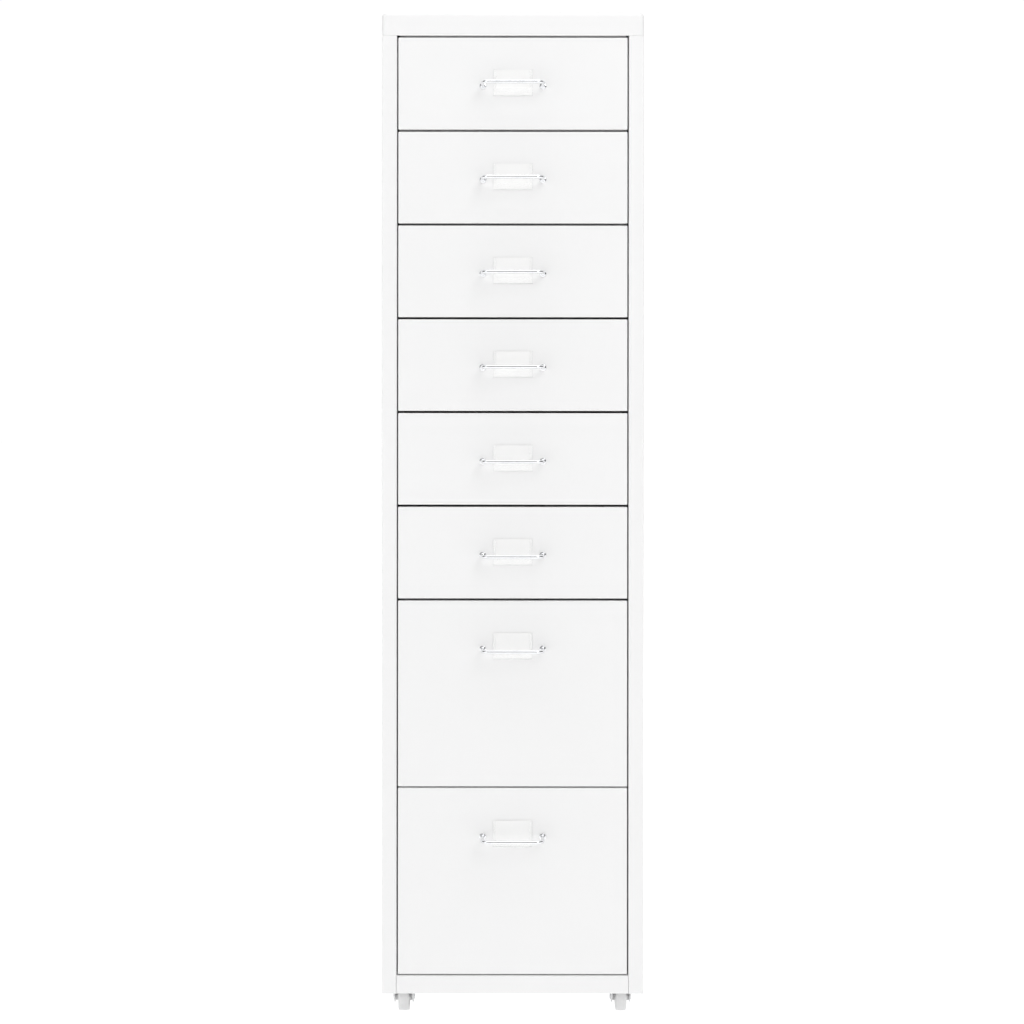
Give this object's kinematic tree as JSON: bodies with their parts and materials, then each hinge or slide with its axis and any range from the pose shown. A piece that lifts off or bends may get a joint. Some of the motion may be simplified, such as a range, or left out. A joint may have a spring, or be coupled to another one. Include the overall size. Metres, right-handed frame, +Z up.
{
  "type": "mobile drawer cabinet",
  "caption": "Slim sheet-steel drawer cabinet on swivel casters, with low drawers over deeper ones, each with a wire bow handle and a clear label holder.",
  "frame": {"origin": "on the floor, under the middle of the cabinet's outline (handles and rear screw heads included)", "axes": "+Z up; the drawers open towards -Y; +X is the right-hand side seen from the front"},
  "size_m": [0.28, 0.41, 1.09],
  "materials": {
    "carcass_paint": "fine smooth white powder coat, satin",
    "front_paint": "fine smooth white powder coat, satin",
    "drawer_paint": "white powder coat, satin, inside of the drawers",
    "runner_paint": "white powder coat, rubbed on the sliding edges",
    "handle_chrome": "bright chrome plating on bent steel wire",
    "clear_plastic": "clear moulded plastic, glossy",
    "caster_zinc": "bright zinc plating on pressed steel",
    "bearing_steel": "polished steel balls",
    "screw_zinc": "zinc-plated screws and nuts",
    "wheel_grey": "light grey moulded plastic, satin tread"
  },
  "bodies": {
    "cabinet": {"side_panel_left": "carcass_paint", "side_panel_right": "carcass_paint", "top_panel": "carcass_paint", "bottom_panel": "carcass_paint", "back_panel": "carcass_paint", "drawer_runners_left": "runner_paint", "drawer_runners_right": "runner_paint", "body_screws": "screw_zinc", "caster_plates": "caster_zinc", "caster_bolts": "screw_zinc", "caster_nuts": "screw_zinc", "caster_kingpins": "caster_zinc", "caster_balls": "bearing_steel"},
    "drawer_1": {"drawer_1_tray": "drawer_paint", "drawer_1_front": "front_paint", "drawer_1_handle": "handle_chrome", "drawer_1_label_holder": "clear_plastic"},
    "drawer_2": {"drawer_2_tray": "drawer_paint", "drawer_2_front": "front_paint", "drawer_2_handle": "handle_chrome", "drawer_2_label_holder": "clear_plastic"},
    "drawer_3": {"drawer_3_tray": "drawer_paint", "drawer_3_front": "front_paint", "drawer_3_handle": "handle_chrome", "drawer_3_label_holder": "clear_plastic"},
    "drawer_4": {"drawer_4_tray": "drawer_paint", "drawer_4_front": "front_paint", "drawer_4_handle": "handle_chrome", "drawer_4_label_holder": "clear_plastic"},
    "drawer_5": {"drawer_5_tray": "drawer_paint", "drawer_5_front": "front_paint", "drawer_5_handle": "handle_chrome", "drawer_5_label_holder": "clear_plastic"},
    "drawer_6": {"drawer_6_tray": "drawer_paint", "drawer_6_front": "front_paint", "drawer_6_handle": "handle_chrome", "drawer_6_label_holder": "clear_plastic"},
    "drawer_7": {"drawer_7_tray": "drawer_paint", "drawer_7_front": "front_paint", "drawer_7_handle": "handle_chrome", "drawer_7_label_holder": "clear_plastic"},
    "drawer_8": {"drawer_8_tray": "drawer_paint", "drawer_8_front": "front_paint", "drawer_8_handle": "handle_chrome", "drawer_8_label_holder": "clear_plastic"},
    "fork_front_left": {"caster_front_left_fork": "caster_zinc", "caster_front_left_axle": "caster_zinc"},
    "wheel_front_left": {"caster_front_left_wheel": "wheel_grey"},
    "fork_front_right": {"caster_front_right_fork": "caster_zinc", "caster_front_right_axle": "caster_zinc"},
    "wheel_front_right": {"caster_front_right_wheel": "wheel_grey"},
    "fork_rear_left": {"caster_rear_left_fork": "caster_zinc", "caster_rear_left_axle": "caster_zinc"},
    "wheel_rear_left": {"caster_rear_left_wheel": "wheel_grey"},
    "fork_rear_right": {"caster_rear_right_fork": "caster_zinc", "caster_rear_right_axle": "caster_zinc"},
    "wheel_rear_right": {"caster_rear_right_wheel": "wheel_grey"}
  },
  "joints": [
    {"name": "drawer_1_slide", "type": "slide", "parent": "cabinet", "child": "drawer_1", "axis": [0, -1, 0], "range_m": [0, 0.29]},
    {"name": "drawer_2_slide", "type": "slide", "parent": "cabinet", "child": "drawer_2", "axis": [0, -1, 0], "range_m": [0, 0.29]},
    {"name": "drawer_3_slide", "type": "slide", "parent": "cabinet", "child": "drawer_3", "axis": [0, -1, 0], "range_m": [0, 0.29]},
    {"name": "drawer_4_slide", "type": "slide", "parent": "cabinet", "child": "drawer_4", "axis": [0, -1, 0], "range_m": [0, 0.29]},
    {"name": "drawer_5_slide", "type": "slide", "parent": "cabinet", "child": "drawer_5", "axis": [0, -1, 0], "range_m": [0, 0.29]},
    {"name": "drawer_6_slide", "type": "slide", "parent": "cabinet", "child": "drawer_6", "axis": [0, -1, 0], "range_m": [0, 0.29]},
    {"name": "drawer_7_slide", "type": "slide", "parent": "cabinet", "child": "drawer_7", "axis": [0, -1, 0], "range_m": [0, 0.29]},
    {"name": "drawer_8_slide", "type": "slide", "parent": "cabinet", "child": "drawer_8", "axis": [0, -1, 0], "range_m": [0, 0.29]},
    {"name": "caster_front_left_swivel", "type": "hinge", "parent": "cabinet", "child": "fork_front_left", "pos_m": [-0.12, -0.114, 0.038], "axis": [0, 0, 1], "continuous": true},
    {"name": "caster_front_left_roll", "type": "hinge", "parent": "fork_front_left", "child": "wheel_front_left", "pos_m": [-0.12, -0.097, 0.016], "axis": [1, 0, 0], "continuous": true},
    {"name": "caster_front_right_swivel", "type": "hinge", "parent": "cabinet", "child": "fork_front_right", "pos_m": [0.12, -0.114, 0.038], "axis": [0, 0, 1], "continuous": true},
    {"name": "caster_front_right_roll", "type": "hinge", "parent": "fork_front_right", "child": "wheel_front_right", "pos_m": [0.12, -0.097, 0.016], "axis": [1, 0, 0], "continuous": true},
    {"name": "caster_rear_left_swivel", "type": "hinge", "parent": "cabinet", "child": "fork_rear_left", "pos_m": [-0.12, 0.155, 0.038], "axis": [0, 0, 1], "continuous": true},
    {"name": "caster_rear_left_roll", "type": "hinge", "parent": "fork_rear_left", "child": "wheel_rear_left", "pos_m": [-0.12, 0.172, 0.016], "axis": [1, 0, 0], "continuous": true},
    {"name": "caster_rear_right_swivel", "type": "hinge", "parent": "cabinet", "child": "fork_rear_right", "pos_m": [0.12, 0.155, 0.038], "axis": [0, 0, 1], "continuous": true},
    {"name": "caster_rear_right_roll", "type": "hinge", "parent": "fork_rear_right", "child": "wheel_rear_right", "pos_m": [0.12, 0.172, 0.016], "axis": [1, 0, 0], "continuous": true}
  ]
}
